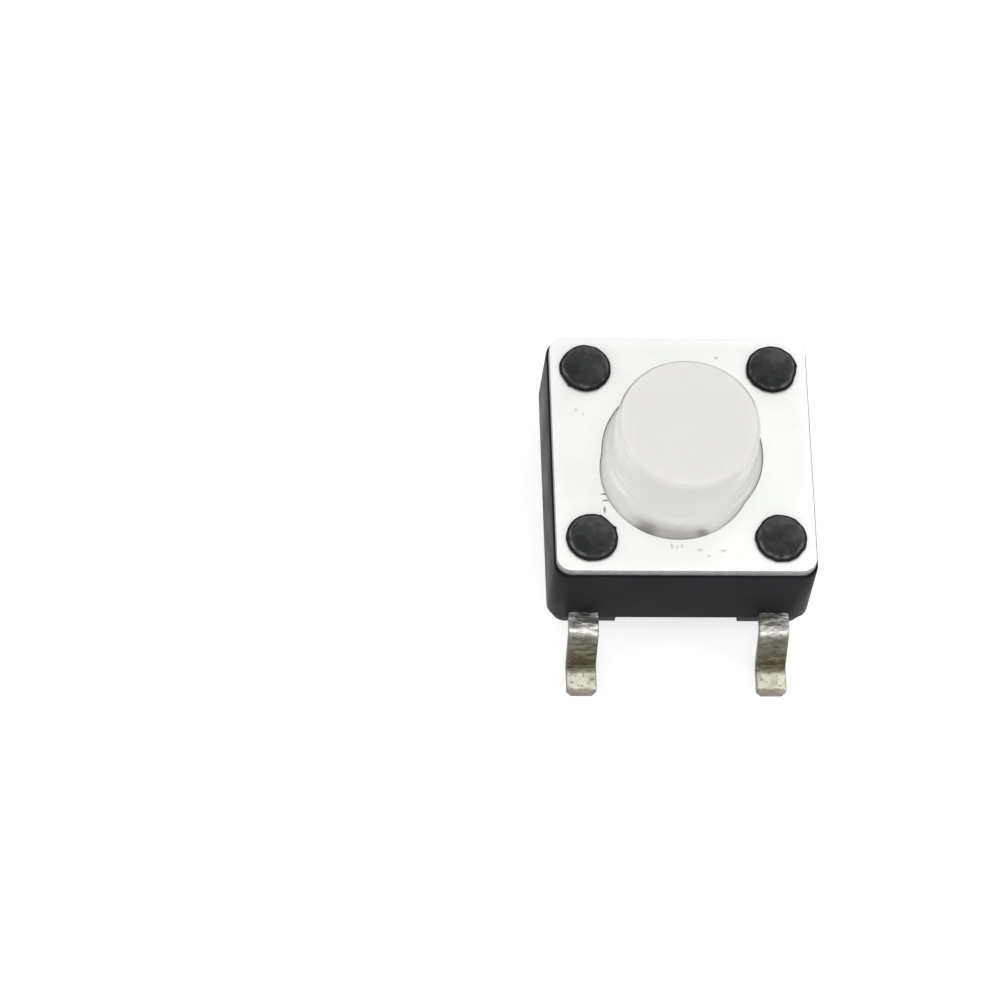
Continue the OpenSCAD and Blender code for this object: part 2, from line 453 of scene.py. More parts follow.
def cover_plate():
    """Sheet with its holes and with edges a little rolled at the top, as the shear left them."""
    def loops(inset):
        posts = [circle(sx * POST_C, sy * POST_C, POST_R + HAIR + inset * 0.5, 40) for sx, sy in CORNERS]
        return [rounded(HALF - inset, CORNER_R - inset, 14), hole_outline(inset * 0.25)] + posts

    low, top = BASE_TOP, COVER_TOP
    edges = [
        (0.02, low), (0.006, low + 0.006), (0, low + 0.02), (0, top - 0.05), (0.004, top - 0.028),
        (0.014, top - 0.012), (0.03, top - 0.003), (0.05, top),
    ]
    return to_metres(new_object("cover_sheet", plate(loops, edges)), 30)


# Plunger
SIDE_SLOPE = (PLUNGER_R - PLUNGER_TOP_R) / (TOTAL_H - COVER_TOP)
SIDE_FOOT_R = PLUNGER_R - SIDE_SLOPE * FLARE_H


def plunger_profile():
    """(r, z) points from the boss's end up to the middle of the top."""
    flange_low, flange_edge = FLANGE_TOP - FLANGE_T, FLANGE_TOP - FLANGE_FALL
    profile = [
        (0, BOSS_END), (BOSS_R - 0.12, BOSS_END), (BOSS_R - 0.04, BOSS_END + 0.03), (BOSS_R, BOSS_END + 0.12),
        (BOSS_R, flange_low), (FLANGE_R - 0.05, flange_low), (FLANGE_R, flange_low + 0.05),
        (FLANGE_R, flange_edge - 0.02), (FLANGE_R - 0.02, flange_edge + 0.005),
        (HOLE_R + 0.03, FLANGE_TOP - 0.003), (COLLAR_R + 0.012, FLANGE_TOP), (COLLAR_R, FLANGE_TOP + 0.012),
        (COLLAR_R, FLARE_Z - 0.01),
    ]
    ends = (COLLAR_R - 0.006, FLARE_Z), (PLUNGER_R + 0.02, FLARE_Z + 0.02), (SIDE_FOOT_R, COVER_TOP + FLARE_H)
    for i in range(11):
        t = i / 10
        profile.append(tuple((1 - t) ** 2 * p + 2 * t * (1 - t) * q + t * t * r for p, q, r in zip(*ends)))
    for i in range(1, 6):
        z = COVER_TOP + FLARE_H + (TOTAL_H - EDGE_R - COVER_TOP - FLARE_H) * i / 5
        profile.append((PLUNGER_R + SIDE_SLOPE * (COVER_TOP - z), z))
    edge_foot_r = PLUNGER_TOP_R + SIDE_SLOPE * EDGE_R
    for i in range(1, 13):
        a = math.radians(90 * i / 12)
        profile.append((edge_foot_r - EDGE_R * (1 - math.cos(a)), TOTAL_H - EDGE_R * (1 - math.sin(a))))
    return profile + [(r, TOTAL_H) for r in (1.2, 0.8, 0.4, 0)]


def plunger():
    """Turned body whose collar and flare are pushed out into the hole's relief as a shallow key."""
    bm = revolve(plunger_profile(), 180)
    for v in bm.verts:
        r, a = v.co.to_2d().length, math.atan2(v.co.y, v.co.x)
        grow = relief_reach(a, KEY_R) - COLLAR_R
        at_key = FLANGE_TOP - 0.01 < v.co.z < COVER_TOP + FLARE_H + 0.01
        if grow <= 0 or r < SIDE_FOOT_R or not at_key:
            continue
        if r >= COLLAR_R - 1e-4:
            far, drop = max(r, COLLAR_R + grow), 0.02 if v.co.z > FLANGE_TOP + 0.05 else 0
        else:
            share = (r - SIDE_FOOT_R) / (COLLAR_R - SIDE_FOOT_R)
            far, drop = r + grow * share, 0.018 * share
        v.co.x, v.co.y = far * math.cos(a), far * math.sin(a)
        v.co.z -= drop * min(1, grow / 0.15)
    return to_metres(new_object("plunger_moulding", bm), 50)


def contact_dome():
    """Thin cap of a sphere, standing on its edge."""
    sphere_r = (DOME_R ** 2 + DOME_H ** 2) / (2 * DOME_H)
    centre_z = FLOOR_Z + DOME_H - sphere_r
    edge = math.asin(DOME_R / sphere_r)
    steps = 18
    turns = [edge * i / steps for i in range(steps + 1)]
    inner = [(sphere_r * math.sin(a), centre_z + sphere_r * math.cos(a)) for a in turns]
    outer_r = sphere_r + DOME_T
    outer = [(outer_r * math.sin(a), centre_z + outer_r * math.cos(a)) for a in reversed(turns)]
    return to_metres(new_object("snap_dome", revolve(inner + [(DOME_R + 0.035, FLOOR_Z)] + outer, 96)))


# Terminals
def lead_path(u0):
    """Middle line of a lead as (distance out, height, angle below the horizontal)."""
    path = [(u0 + (KNEE_U - u0) * i / 10, ROOT_Z + LEAD_T / 2, 0.0) for i in range(10)]
    for i in range(11):
        a = LEG_TURN * i / 10
        path.append((KNEE_U + MID_R * math.sin(a), ROOT_Z - BEND_R + MID_R * math.cos(a), a))
    u1, z1, _ = path[-1]
    u2 = HEEL_U - MID_R * math.sin(LEG_TURN)
    z2 = LEAD_T + BEND_R - MID_R * math.cos(LEG_TURN)
    for i in range(1, 8):
        path.append((u1 + (u2 - u1) * i / 8, z1 + (z2 - z1) * i / 8, LEG_TURN))
    for i in range(11):
        a = LEG_TURN * (1 - i / 10)
        path.append((HEEL_U - MID_R * math.sin(a), LEAD_T + BEND_R - MID_R * math.cos(a), a))
    for u in (0.1, 0.2, 0.3, 0.4, FOOT_L - TIP_CUT, FOOT_L - TIP_CUT * 0.45, FOOT_L):
        path.append((HEEL_U + u, LEAD_T / 2, 0.0))
    return path


def lead_section(steps=12):
    """A lead's cross-section with rounded corners as (across, up) points, the top row first."""
    half_w, half_t, nick = LEAD_W / 2, LEAD_T / 2, 0.01
    flat = half_w - LEAD_EDGE
    row = [-flat + 2 * flat * i / steps for i in range(steps + 1)]
    right = [
        (half_w - nick, half_t - nick), (half_w, half_t - LEAD_EDGE), (half_w, -half_t + LEAD_EDGE),
        (half_w - nick, -half_t + nick),
    ]
    left = [(-w, -t) for w, t in right]
    return [(w, half_t) for w in row] + right + [(-w, -half_t) for w in row] + left


def lead_mesh(x, side, seed):
    """One bent lead with the uneven plating seen near its root."""
    bm = bmesh.new()
    section, path, rings = lead_section(), lead_path(LEAD_START_U), []
    for k, (u, z, a) in enumerate(path):
        narrow, thin = TIP_TAPER.get(len(path) - 1 - k, (0, 1))
        rough = 0.014 if u < UNEVEN_U else 0.004
        ring = []
        for w, t in section:
            out, up = u + t * thin * math.sin(a), z + t * thin * math.cos(a)
            p = Vector((x + w * (1 - narrow / (LEAD_W / 2)), side * out, up))
            if t == LEAD_T / 2 and BASE_HALF < u < TIP_U - 0.1:
                p.z += rough * noise.noise(Vector((p.x * 5 + seed * 3.3, p.y * 6, seed * 1.7)))
            ring.append(bm.verts.new(p))
        rings.append(ring)
    n = len(section)
    for a, b in zip(rings, rings[1:]):
        for i in range(n):
            bm.faces.new((a[i], a[(i + 1) % n], b[(i + 1) % n], b[i]))
    bm.faces.new(rings[0])
    bm.faces.new(rings[-1])
    return bm


def terminal(name, x, tongues, pads, seed):
    """A strip with its (x0, x1, y) tongues, its (x, y, r, top) contact pads and two bent leads."""
    shy = 0.001
    half_w = LEAD_W / 2 - shy
    strip = box(x - half_w, x + half_w, -STRIP_HALF, STRIP_HALF, ROOT_Z + shy, STRIP_TOP - shy)
    obj = new_object("strip", strip)
    for x0, x1, y in tongues:
        add(obj, "tongue", box(x0, x1, y - TONGUE_W / 2, y + TONGUE_W / 2, ROOT_Z, STRIP_TOP))
    for px, py, r, top in pads:
        add(obj, "pad", prism(circle(px, py, r, 40), STRIP_TOP - 0.1, top))
    for side in (-1, 1):
        add(obj, "lead", lead_mesh(x, side, seed + side))
    obj.name = name
    return to_metres(obj, 50)


base = base_housing()
cover = cover_plate()
button = plunger()
dome = contact_dome()
centre_pads = [(0, 0, CENTRE_PAD_R, FLOOR_Z), (0, 0, CENTRE_PAD_R - 0.15, FLOOR_Z + PAD_RISE)]
terminal_a = terminal("terminal_centre_strip", -LEAD_C, [(-LEAD_C, 0.55, 0)], centre_pads, 4)
outer_tongues = [(OUTER_PAD_X - 0.35, LEAD_C, side * OUTER_PAD_Y) for side in (-1, 1)]
outer_pads = [(OUTER_PAD_X, side * OUTER_PAD_Y, OUTER_PAD_R, FLOOR_Z) for side in (-1, 1)]
terminal_b = terminal("terminal_outer_strip", LEAD_C, outer_tongues, outer_pads, 9)

for piece, body, node, slot in (
    (base, "switch_body", "base_housing", "housing"),
    (cover, "switch_body", "cover_plate", "cover"),
    (button, "button", "plunger", "plunger"),
    (dome, "switch_body", "contact_dome", "dome"),
    (terminal_a, "switch_body", "terminal_centre", "terminal"),
    (terminal_b, "switch_body", "terminal_outer", "terminal"),
):
    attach(piece, body)
    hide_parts(node)
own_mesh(dome)


# Materials
class Tree:
    """Small helper that fills an empty shader tree."""

    def __init__(self, owner, output):
        owner.use_nodes = True
        self.tree = owner.node_tree
        self.tree.nodes.clear()
        self.out = self.new(output)

    def new(self, kind):
        return self.tree.nodes.new(kind)

    def link(self, a, b):
        self.tree.links.new(a, b)

    def math(self, operation, a, b=None):
        n = self.new("ShaderNodeMath")
        n.operation = operation
        for k, value in enumerate((a, b)):
            if value is None:
                continue
            if isinstance(value, (int, float)):
                n.inputs[k].default_value = value
            else:
                self.link(value, n.inputs[k])
        return n.outputs[0]

    def times(self, a, b):
        return self.math("MULTIPLY", a, b)

    def mix_shader(self, fac, a, b):
        n = self.new("ShaderNodeMixShader")
        for k, value in enumerate((fac, a.outputs[0], b.outputs[0])):
            self.link(value, n.inputs[k])
        return n

    def seen_by(self, *rays):
        """1 for any of the named kinds of ray."""
        path = self.new("ShaderNodeLightPath")
        seen = path.outputs[rays[0]]
        for ray in rays[1:]:
            seen = self.math("MAXIMUM", seen, path.outputs[ray])
        return seen


class Nodes(Tree):
    """Shader tree of one of the part's materials, with coordinates in millimetres."""

    def __init__(self, name):
        self.mat = bpy.data.materials.new(name)
        super().__init__(self.mat, "ShaderNodeOutputMaterial")
        self.bsdf = self.new("ShaderNodeBsdfPrincipled")
        self.link(self.bsdf.outputs[0], self.out.inputs["Surface"])
        coord = self.new("ShaderNodeTexCoord")
        mapping = self.new("ShaderNodeMapping")
        mapping.inputs["Scale"].default_value = (1 / MM, 1 / MM, 1 / MM)
        self.link(coord.outputs["Object"], mapping.inputs["Vector"])
        self.pos = mapping.outputs[0]

    def noise(self, scale, detail, rough=0.55, stretch=None, offset=None):
        n = self.new("ShaderNodeTexNoise")
        n.inputs["Scale"].default_value = scale
        n.inputs["Detail"].default_value = detail
        n.inputs["Roughness"].default_value = rough
        source = self.pos
        if stretch or offset:
            m = self.new("ShaderNodeMapping")
            m.inputs["Scale"].default_value = stretch or (1, 1, 1)
            m.inputs["Location"].default_value = offset or (0, 0, 0)
            self.link(self.pos, m.inputs["Vector"])
            source = m.outputs[0]
        self.link(source, n.inputs["Vector"])
        return n.outputs[0]

    def ramp(self, fac, stops, smooth=True):
        """Colour ramp; a stop's colour may be one number for a grey."""
        n = self.new("ShaderNodeValToRGB")
        n.color_ramp.interpolation = "EASE" if smooth else "LINEAR"
        while len(n.color_ramp.elements) < len(stops):
            n.color_ramp.elements.new(0.5)
        for element, (at, colour) in zip(n.color_ramp.elements, stops):
            element.position = at
            if not hasattr(colour, "__len__"):
                colour = (colour, colour, colour)
            element.color = (*colour, 1)
        self.link(fac, n.inputs[0])
        return n.outputs[0]

    def range(self, value, start, end, low, high):
        """low where the value is at start, high where it is at end, and even in between."""
        n = self.new("ShaderNodeMapRange")
        for k, number in enumerate((start, end, low, high)):
            n.inputs[k + 1].default_value = number
        self.link(value, n.inputs[0])
        return n.outputs[0]

    def rise(self, value, start, end):
        return self.range(value, start, end, 0.0, 1.0)

    def fall(self, value, start, end):
        return self.range(value, start, end, 1.0, 0.0)

    def mix(self, fac, a, b, blend="MIX"):
        """Mix of two colours, which are inputs 6 and 7 of the node."""
        n = self.new("ShaderNodeMix")
        n.data_type = "RGBA"
        n.blend_type = blend
        for socket, value in ((n.inputs[0], fac), (n.inputs[6], a), (n.inputs[7], b)):
            if isinstance(value, (int, float)):
                socket.default_value = value
            elif isinstance(value, tuple):
                socket.default_value = (*value, 1)
            else:
                self.link(value, socket)
        return n.outputs[2]

    def tint(self, colour, by):
        return self.mix(1.0, colour, by, "MULTIPLY")

    def bump(self, height, strength, distance, normal=None):
        """Bump whose distance is in millimetres."""
        n = self.new("ShaderNodeBump")
        n.inputs["Strength"].default_value = strength
        n.inputs["Distance"].default_value = distance * MM
        self.link(height, n.inputs["Height"])
        if normal is not None:
            self.link(normal, n.inputs["Normal"])
        return n.outputs[0]

    def vector(self, operation, a, b=None):
        n = self.new("ShaderNodeVectorMath")
        n.operation = operation
        self.link(a, n.inputs[0])
        if b is not None:
            n.inputs[1].default_value = b
        return n.outputs["Value"] if operation == "LENGTH" else n.outputs[0]

    def near(self, point, radius, stretch):
        """1 at a point in millimetres, falling to 0 at the radius."""
        offset = self.vector("MULTIPLY", self.vector("SUBTRACT", self.pos, point), stretch)
        return self.fall(self.vector("LENGTH", offset), radius * 0.3, radius)

    def radius(self):
        """Distance from the part's upright axis."""
        return self.vector("LENGTH", self.vector("MULTIPLY", self.pos, (1, 1, 0)))

    def axis(self, name):
        sep = self.new("ShaderNodeSeparateXYZ")
        self.link(self.pos, sep.inputs[0])
        return sep.outputs[name]

    def facing(self, name):
        """Size of the surface direction along one axis."""
        sep = self.new("ShaderNodeSeparateXYZ")
        coord = self.new("ShaderNodeTexCoord")
        self.link(coord.outputs["Normal"], sep.inputs[0])
        return self.math("ABSOLUTE", sep.outputs[name])

    def set(self, **values):
        for key, value in values.items():
            socket = self.bsdf.inputs[key.replace("_", " ")]
            if isinstance(value, (int, float, tuple)):
                socket.default_value = value
            else:
                self.link(value, socket)


def housing_material():
    """Black moulding with some dust; painted light and shade lie across the staked heads, lighter towards
    each head's back right, with a painted glint round their rims, and painted light brightens the underside
    and grades the walls from darker low down to lighter at the top.
    """
    n = Nodes("housing_plastic")
    cloud = n.noise(0.7, 4, 0.6)
    grain = n.noise(24, 3, 0.6)
    wall = n.ramp(cloud, [(0.3, (0.0095, 0.0100, 0.0110)), (0.7, (0.0150, 0.0155, 0.0170))])
    x, y, z = n.axis("X"), n.axis("Y"), n.axis("Z")
    # Painted light and shade on the staked heads: grey, lighter towards each head's back and right and darker
    # towards its front, varied by a noise
    across = n.math("SUBTRACT", x, n.times(n.math("SIGN", x), POST_C))
    along = n.math("SUBTRACT", y, n.times(n.math("SIGN", y), POST_C))
    head_light_slope = n.math("ADD", n.times(across, 0.45), n.times(along, 0.8))
    patch = n.times(n.math("SUBTRACT", n.noise(3.4, 4, 0.6, offset=(2, 5, 0)), 0.5), 1.5)
    head = n.ramp(n.rise(n.math("ADD", head_light_slope, patch), -0.42, 0.5), [
        (0.0, (0.020, 0.021, 0.021)), (0.45, (0.034, 0.035, 0.035)), (1.0, (0.068, 0.067, 0.070)),
    ])
    # Band round each head's rising rim, which gets a painted glint
    above_foot = n.rise(z, COVER_TOP + 0.064, COVER_TOP + 0.085)
    ring = n.times(above_foot, n.fall(z, COVER_TOP + 0.11, COVER_TOP + 0.15))
    glint = n.ramp(n.noise(4.5, 3, 0.6, offset=(7, 1, 4)), [
        (0.42, (0.04, 0.04, 0.042)), (0.62, (0.115, 0.112, 0.115)),
    ])
    on_head = n.rise(z, COVER_TOP + 0.06, COVER_TOP + 0.075)
    tone = n.mix(on_head, wall, n.mix(ring, head, glint))
    # Painted light: the underside is brightened two to two and a half times, and the walls are painted darker
    # low down and lighter towards the top
    painted_light_by_height = n.ramp(n.rise(z, RIB_Z, BASE_TOP), [(0.0, 2.6), (0.22, 2.4), (0.275, 0.45), (1.0, 1.1)])
    tone = n.tint(tone, painted_light_by_height)
    dust = n.ramp(n.noise(5.5, 5, 0.75, offset=(3, 7, 1)), [(0.66, 0.0), (0.74, 1.0)])
    n.set(Base_Color=n.mix(n.times(dust, 0.25), tone, (0.06, 0.06, 0.064)), Specular_IOR_Level=0.05)
    n.set(Roughness=n.range(cloud, 0.3, 0.7, 0.34, 0.5))
    n.set(Normal=n.bump(cloud, 0.35, 0.06, n.bump(grain, 0.5, 0.010)))
    return n.mat


# Specks and short scratches on the cover: ((x, y), radius, stretch)
COVER_MARKS = (
    ((-2.429, 1.104), 0.05, (1, 1, 1)), ((-2.27, 1.001), 0.045, (1, 1, 1)),
    ((0.295, -2.472), 0.055, (0.6, 1, 1)), ((0.848, -2.495), 0.06, (0.45, 1.2, 1)),
    ((0.496, -2.624), 0.045, (0.8, 1, 1)), ((-0.346, -2.374), 0.06, (1.4, 0.6, 1)),
    ((-0.23, -2.40), 0.05, (1.6, 0.6, 1)), ((-0.115, -2.373), 0.05, (1.4, 0.7, 1)),
    ((0.895, 2.484), 0.05, (0.7, 1, 1)),
)
# Dark nicks at the hole's edge, near the front left post
HOLE_NICKS = (
    ((-1.86, -1.06), 0.08, (0.8, 2.4, 1)), ((-1.83, -1.222), 0.08, (0.8, 2.4, 1)),
    ((-1.86, -1.46), 0.11, (2.9, 0.9, 1)),
)


def cover_material():
    """Satin sheet with specks, scratches and nicks; its edges are darker, partly from their shear-cut finish
    and partly as a painted dark reflection, and painted light and shade leave it darker towards the left and
    lighter towards the front.
    """
    n = Nodes("cover_steel")
    mottle = n.noise(1.1, 4, 0.6)
    fine = n.noise(9, 3, 0.6)
    rolled = n.noise(6, 2, 0.5, stretch=(0.25, 4.0, 1.0))
    colour = n.ramp(mottle, [(0.32, (0.925, 0.94, 0.92)), (0.68, (0.965, 0.97, 0.955))])
    # Painted light and shade: the sheet is darkened towards the left and brightened towards the front
    colour = n.tint(colour, n.ramp(n.rise(n.axis("X"), -HALF, HALF), [(0.0, 0.94), (1.0, 1.0)]))
    colour = n.tint(colour, n.ramp(n.rise(n.axis("Y"), -HALF, HALF), [(0.0, 1.03), (1.0, 0.985)]))
    marks = None
    for (x, y), radius, stretch in COVER_MARKS:
        mark = n.near((x, y, COVER_TOP), radius, stretch)
        marks = mark if marks is None else n.math("MAXIMUM", marks, mark)
    marks = n.times(marks, n.range(n.noise(30, 2), 0.35, 0.6, 0.2, 1.0))
    colour = n.mix(n.times(marks, 0.6), colour, (0.30, 0.30, 0.29))
    for (x, y), radius, stretch in HOLE_NICKS:
        nick = n.near((x, y, COVER_TOP), radius, stretch)
        colour = n.mix(n.times(nick, 0.8), colour, (0.07, 0.07, 0.07))
    # The edges get their own tone: darker and streaky on the outer edge and round the posts, partly a
    # shear-cut finish and partly a painted dark reflection, and a lighter grey inside the plunger's hole
    edge = n.fall(n.facing("Z"), 0.45, 0.8)
    lines = n.noise(5, 3, 0.6, stretch=(1, 1, 4))
    edge_finish_and_dark_reflection = n.ramp(lines, [(0.32, (0.24, 0.235, 0.24)), (0.68, (0.37, 0.36, 0.37))])
    edge_finish_and_dark_reflection = n.mix(n.fall(n.radius(), 2.35, 2.5), edge_finish_and_dark_reflection, (0.62, 0.62, 0.61))
    n.set(Base_Color=n.mix(edge, colour, edge_finish_and_dark_reflection), Metallic=n.range(edge, 0.0, 1.0, 0.6, 0.9))
    n.set(Roughness=n.range(fine, 0.3, 0.7, 0.42, 0.52))
    sheet = n.bump(mottle, 0.25, 0.02, n.bump(rolled, 0.10, 0.004))
    n.set(Normal=n.bump(n.times(marks, -1.0), 0.5, 0.01, sheet))
    return n.mat


# Painted shade: dark spots in the relief at the plunger's foot, where its gap lies in shadow: ((x, y, z),
# radius)
PLUNGER_SHADE_SPOTS = (((-0.95, -1.97, 3.38), 0.26), ((0.38, -2.02, 3.38), 0.13))


def plunger_material():
    """White moulding with painted shade round its foot in front and on the front of its top edge and side,
    duller on its front side, with a dark line along the back of its top edge."""
    n = Nodes("plunger_plastic")
    cloud = n.noise(0.8, 3, 0.5)
    colour = n.ramp(cloud, [(0.35, (0.682, 0.678, 0.662)), (0.65, (0.696, 0.692, 0.677))])
    x, y, z = n.axis("X"), n.axis("Y"), n.axis("Z")
    edge_z = TOTAL_H - EDGE_R

    # Painted shade: a darker band round the foot in front, where the gap in the relief lies in shadow
    ring = n.rise(n.math("ADD", n.radius(), n.times(n.noise(3, 2), 0.08)), 1.84, 2.08)
    front = n.times(n.fall(n.math("ABSOLUTE", n.math("ADD", x, 0.38)), 0.62, 1.05), n.rise(y, -1.45, -1.7))
    colour = n.mix(n.times(n.times(ring, front), 0.85), colour, (0.36, 0.35, 0.33))
    for point, radius in PLUNGER_SHADE_SPOTS:
        colour = n.mix(n.times(n.near(point, radius, (0.7, 1, 0.5)), 0.8), colour, (0.20, 0.195, 0.185))

    back_rim = n.times(n.rise(z, edge_z - 0.02, edge_z), n.fall(n.facing("Z"), 0.72, 0.93))
    back_rim = n.times(back_rim, n.rise(y, 0.1, 0.6))
    colour = n.mix(n.times(back_rim, 0.85), colour, (0.26, 0.26, 0.25))

    # Painted shade: the front of the top's rounding and, in the middle of the front, the side below it are
    # darkened
    to_front = n.rise(y, 0.5, 0.0)
    off_top = n.fall(n.facing("Z"), 0.9, 0.995)
    middle = n.fall(n.math("ABSOLUTE", n.math("ADD", x, 0.15)), 0.75, 1.4)
    rounding = n.times(n.rise(z, edge_z - 0.03, edge_z + 0.02), off_top)
    below_rim = n.times(n.range(z, COVER_TOP + 0.2, edge_z, 0.0, 0.6), middle)
    below_rim = n.times(below_rim, n.fall(z, edge_z - 0.03, edge_z + 0.02))
    shade = n.times(n.math("MAXIMUM", n.times(rounding, 0.9), below_rim), to_front)
    colour = n.mix(shade, colour, (0.595, 0.591, 0.577))

    dull = n.times(n.times(off_top, to_front), middle)
    gloss = n.range(n.noise(4, 2), 0.3, 0.7, 0.15, 0.19)
    n.set(Base_Color=colour, Roughness=n.math("ADD", gloss, n.times(dull, 0.5)), Specular_IOR_Level=0.5)
    n.set(Subsurface_Weight=0.5, Subsurface_Scale=0.5 * MM, Subsurface_Radius=(1.0, 0.9, 0.8))
    n.set(Normal=n.bump(cloud, 0.1, 0.02))
    return n.mat


def dome_material():
    """Bright spring sheet."""
    n = Nodes("dome_steel")
    cloud = n.noise(2.5, 4, 0.6)
    n.set(Base_Color=n.ramp(cloud, [(0.3, (0.62, 0.63, 0.64)), (0.7, (0.74, 0.75, 0.76))]), Metallic=1.0)
    n.set(Roughness=n.range(cloud, 0.3, 0.7, 0.22, 0.34))
    n.set(Normal=n.bump(n.noise(14, 3), 0.25, 0.008))
    return n.mat


# Tone along a lead, from the cover's side at 0 to the tip at 1: dark on the slope and the heel's bend as a
# painted dark reflection, with a thin painted highlight line in the bend, and a near-white foot, partly its
# tinning and partly painted light
LEAD_TONES_AND_LIGHT = [
    (0.0, (0.34, 0.34, 0.33)), (0.30, (0.47, 0.46, 0.43)), (0.36, (0.27, 0.26, 0.23)),
    (0.40, (0.15, 0.143, 0.118)), (0.49, (0.140, 0.132, 0.106)), (0.52, (0.095, 0.088, 0.062)),
    (0.54, (0.135, 0.128, 0.098)), (0.56, (0.084, 0.076, 0.052)), (0.61, (0.09, 0.081, 0.055)),
    (0.67, (0.38, 0.36, 0.30)), (0.73, (0.98, 0.97, 0.85)), (0.93, (0.98, 0.97, 0.85)),
    (0.965, (0.36, 0.33, 0.29)),
]


def terminal_material():
    """Plated strip: patchy near the housing, with a painted dark reflection on the slope, and scuffed on the
    foot, which is near-white partly from its tinning and partly as painted light.
    """
    n = Nodes("terminal_plating")
    cloud = n.noise(2.2, 4, 0.6)
    crumple = n.noise(5, 4, 0.65, stretch=(0.55, 1.7, 1.0))
    out = n.math("ABSOLUTE", n.axis("Y"))
    jitter = n.times(n.math("SUBTRACT", n.noise(3.5, 3, 0.6, offset=(0, 9, 0)), 0.5), 0.16)
    tone = n.ramp(n.rise(n.math("ADD", out, jitter), HALF, TIP_U - 0.01), LEAD_TONES_AND_LIGHT, smooth=False)
    root = n.fall(out, UNEVEN_U - 0.14, UNEVEN_U)
    foot = n.rise(out, HEEL_U - 0.02, HEEL_U + 0.09)

    # Bright and dark patches near the root, from a crumpled noise
    root_patches = n.ramp(crumple, [
        (0.36, (0.36, 0.36, 0.35)), (0.47, (0.56, 0.55, 0.52)), (0.60, (0.98, 0.97, 0.94)),
    ])
    tone = n.mix(root, tone, root_patches)
    fibres = n.noise(7, 4, 0.7, stretch=(0.5, 2.2, 1.0), offset=(1, 3, 8))
    streaks = n.ramp(fibres, [(0.36, 0.55), (0.5, 1.0), (0.64, 1.5)])
    tone = n.mix(n.math("SUBTRACT", 1.0, foot), tone, n.tint(tone, streaks))
    patches = n.noise(3.6, 4, 0.7, offset=(6, 2, 5))
    worn = n.ramp(patches, [(0.38, (0.74, 0.72, 0.65)), (0.52, (1.0, 1.0, 1.0))])
    tone = n.mix(foot, tone, n.tint(tone, worn))
    scuff = n.ramp(n.noise(6.5, 3, 0.6, offset=(4, 1, 2)), [(0.57, 0.0), (0.65, 1.0)])
    tone = n.mix(n.times(n.times(scuff, foot), 0.75), tone, (0.24, 0.22, 0.17))

    across = n.math("ABSOLUTE", n.math("SUBTRACT", n.math("ABSOLUTE", n.axis("X")), LEAD_C))
    ragged = n.math("ADD", across, n.times(n.noise(5, 3, 0.6), 0.08))
    edge = n.range(ragged, LEAD_W / 2 - 0.005, LEAD_W / 2 + 0.03, 0.0, 0.5)
    tone = n.mix(edge, tone, (0.10, 0.098, 0.085))
    side = n.rise(n.facing("X"), 0.45, 0.85)
    tone = n.mix(n.times(side, 0.8), tone, (0.13, 0.13, 0.12))
    end = n.times(n.rise(out, TIP_U - 0.11, TIP_U - 0.05), n.rise(n.facing("Y"), 0.5, 0.85))
    tone = n.mix(n.times(end, 0.9), tone, (0.20, 0.18, 0.165))

    mild = n.ramp(cloud, [(0.35, (0.88, 0.87, 0.85)), (0.65, (1.0, 1.0, 1.0))])
    n.set(Base_Color=n.tint(tone, mild), Metallic=n.range(out, HEEL_U - 0.05, HEEL_U + 0.1, 1.0, 0.4))
    n.set(Roughness=n.range(crumple, 0.3, 0.7, 0.30, 0.48))
    n.set(Normal=n.bump(n.times(crumple, root), 0.6, 0.05, n.bump(n.noise(25, 2), 0.25, 0.006)))
    return n.mat


plating = terminal_material()
for piece, material in (
    (base, housing_material()),
    (cover, cover_material()),
    (button, plunger_material()),
    (dome, dome_material()),
    (terminal_a, plating),
    (terminal_b, plating),
):
    piece.data.materials.clear()
    piece.data.materials.append(material)

# Floor, world, lamps and camera
LIT_POINT = (0, 0, 3)
FLOOR_HALF = 400
FLOOR_DROP = 0.002


def floor_material():
    """White to the camera and in reflections, with the part's shadow, and clear to a camera below it."""
    mat = bpy.data.materials.new("floor_pale")
    n = Tree(mat, "ShaderNodeOutputMaterial")
    diffuse = n.new("ShaderNodeBsdfDiffuse")
    diffuse.inputs["Color"].default_value = (0.62, 0.62, 0.62, 1)
    glow = n.new("ShaderNodeEmission")
    glow.inputs["Strength"].default_value = 0.58
    white = n.new("ShaderNodeAddShader")
    n.link(diffuse.outputs[0], white.inputs[0])
    n.link(glow.outputs[0], white.inputs[1])
    seen = n.seen_by("Is Camera Ray", "Is Glossy Ray", "Is Transmission Ray")
    from_above = n.mix_shader(seen, diffuse, white)
    side = n.new("ShaderNodeNewGeometry")
    below = n.times(n.seen_by("Is Camera Ray"), side.outputs["Backfacing"])
    surface = n.mix_shader(below, from_above, n.new("ShaderNodeBsdfTransparent"))
    n.link(surface.outputs[0], n.out.inputs["Surface"])
    return mat


def studio_world():
    """Soft even light, seen as plain white by the camera."""
    world = bpy.data.worlds.new("studio")
    bpy.context.scene.world = world
    n = Tree(world, "ShaderNodeOutputWorld")
    soft = n.new("ShaderNodeBackground")
    soft.inputs["Color"].default_value = (1, 1, 0.99, 1)
    soft.inputs["Strength"].default_value = 0.8
    white = n.new("ShaderNodeBackground")
    white.inputs["Strength"].default_value = 1
    choice = n.mix_shader(n.seen_by("Is Camera Ray", "Is Transmission Ray"), soft, white)
    n.link(choice.outputs[0], n.out.inputs["Surface"])


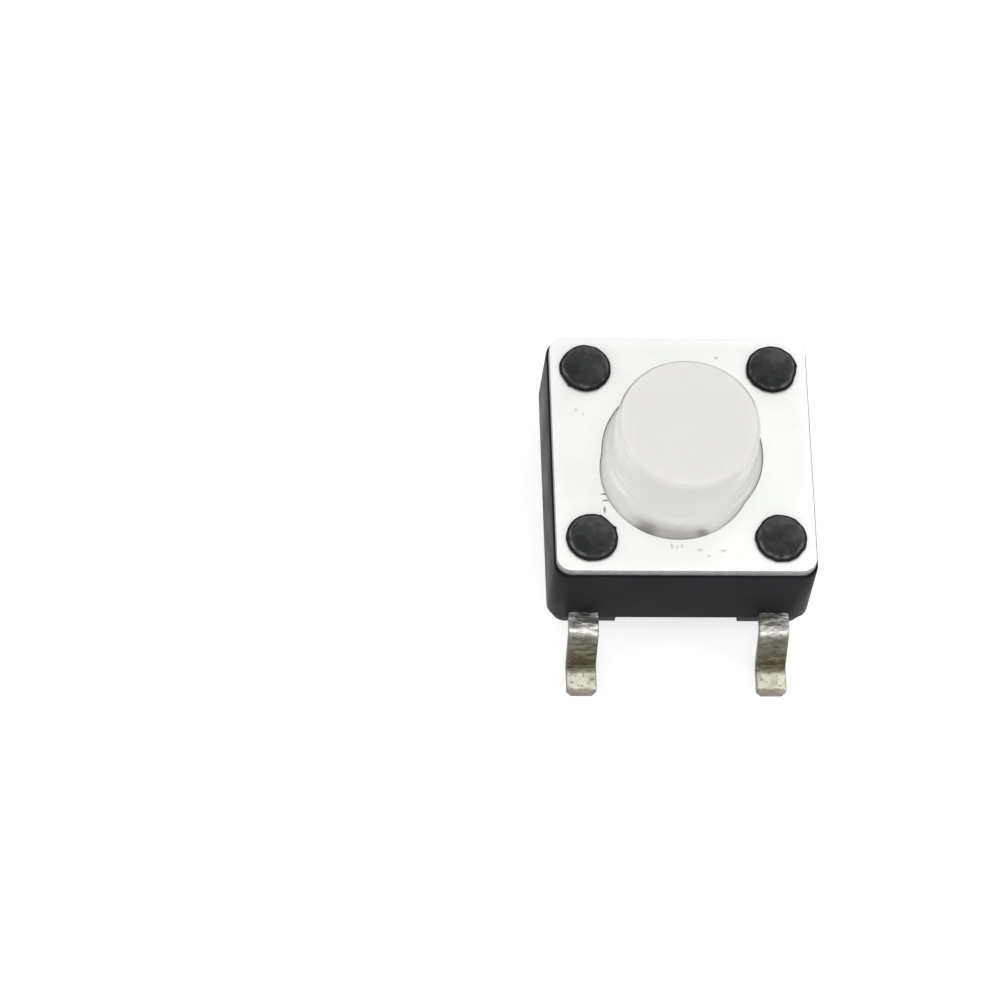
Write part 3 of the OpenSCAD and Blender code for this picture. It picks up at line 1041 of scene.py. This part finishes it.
def area_light(name, place, size_x, size_y, radiance):
    """Rectangular lamp aimed at LIT_POINT, with its place and size in millimetres."""
    data = bpy.data.lights.new(name, "AREA")
    data.shape = "RECTANGLE"
    data.size = size_x * MM
    data.size_y = size_y * MM
    data.energy = radiance * math.pi * size_x * size_y * MM * MM
    lamp = bpy.data.objects.new(name, data)
    bpy.context.scene.collection.objects.link(lamp)
    place, target = Vector(place) * MM, Vector(LIT_POINT) * MM
    lamp.location = place
    lamp.rotation_euler = (place - target).to_track_quat("Z", "Y").to_euler()


floor_mesh = bmesh.new()
reach, drop = FLOOR_HALF * MM, FLOOR_DROP * MM
floor_mesh.faces.new([floor_mesh.verts.new((sx * reach, sy * reach, -drop)) for sx, sy in CORNERS])
floor = new_object("floor", floor_mesh)
floor.data.materials.append(floor_material())
studio_world()
area_light("overhead", (15, 75, 95), 140, 95, 0.40)
area_light("left_box", (-110, -15, 52), 70, 70, 2.7)
area_light("right_box", (110, -25, 52), 60, 70, 2.7)
area_light("front_fill", (-10, -112, 56), 130, 56, 1.65)

# Camera fitted to the photo: its turn, its distance, the aim's place off the picture's middle and its
# focal length in pixels; the principal point is the middle of the picture
AZIMUTH, ELEVATION, ROLL = math.radians(-100.422), math.radians(63.644), math.radians(9.648)
DISTANCE, AIM_X, AIM_Y, AIM_Z = 140.377, 4.072, 0.324, 1.70
FOCAL_PX, PICTURE_PX, SENSOR = 6010.4, 1001, 36


def photo_camera():
    """Camera at the photo's viewing angle."""
    level = math.cos(ELEVATION)
    back = Vector((level * math.cos(AZIMUTH), level * math.sin(AZIMUTH), math.sin(ELEVATION)))
    right = Vector((-math.sin(AZIMUTH), math.cos(AZIMUTH), 0))
    up = back.cross(right)
    cam_x = math.cos(ROLL) * right + math.sin(ROLL) * up
    cam_y = -math.sin(ROLL) * right + math.cos(ROLL) * up
    eye = Vector((0, 0, AIM_Z)) - AIM_X * cam_x - AIM_Y * cam_y + DISTANCE * back
    data = bpy.data.cameras.new("camera")
    data.sensor_width = SENSOR
    data.lens = FOCAL_PX * SENSOR / PICTURE_PX
    data.clip_start = 0.001
    data.clip_end = 10
    camera = bpy.data.objects.new("camera", data)
    bpy.context.scene.collection.objects.link(camera)
    turn = Matrix((cam_x, cam_y, back)).transposed().to_4x4()
    camera.matrix_world = Matrix.Translation(eye * MM) @ turn
    return camera


bpy.context.scene.camera = photo_camera()
bpy.context.scene.view_settings.view_transform = "Standard"
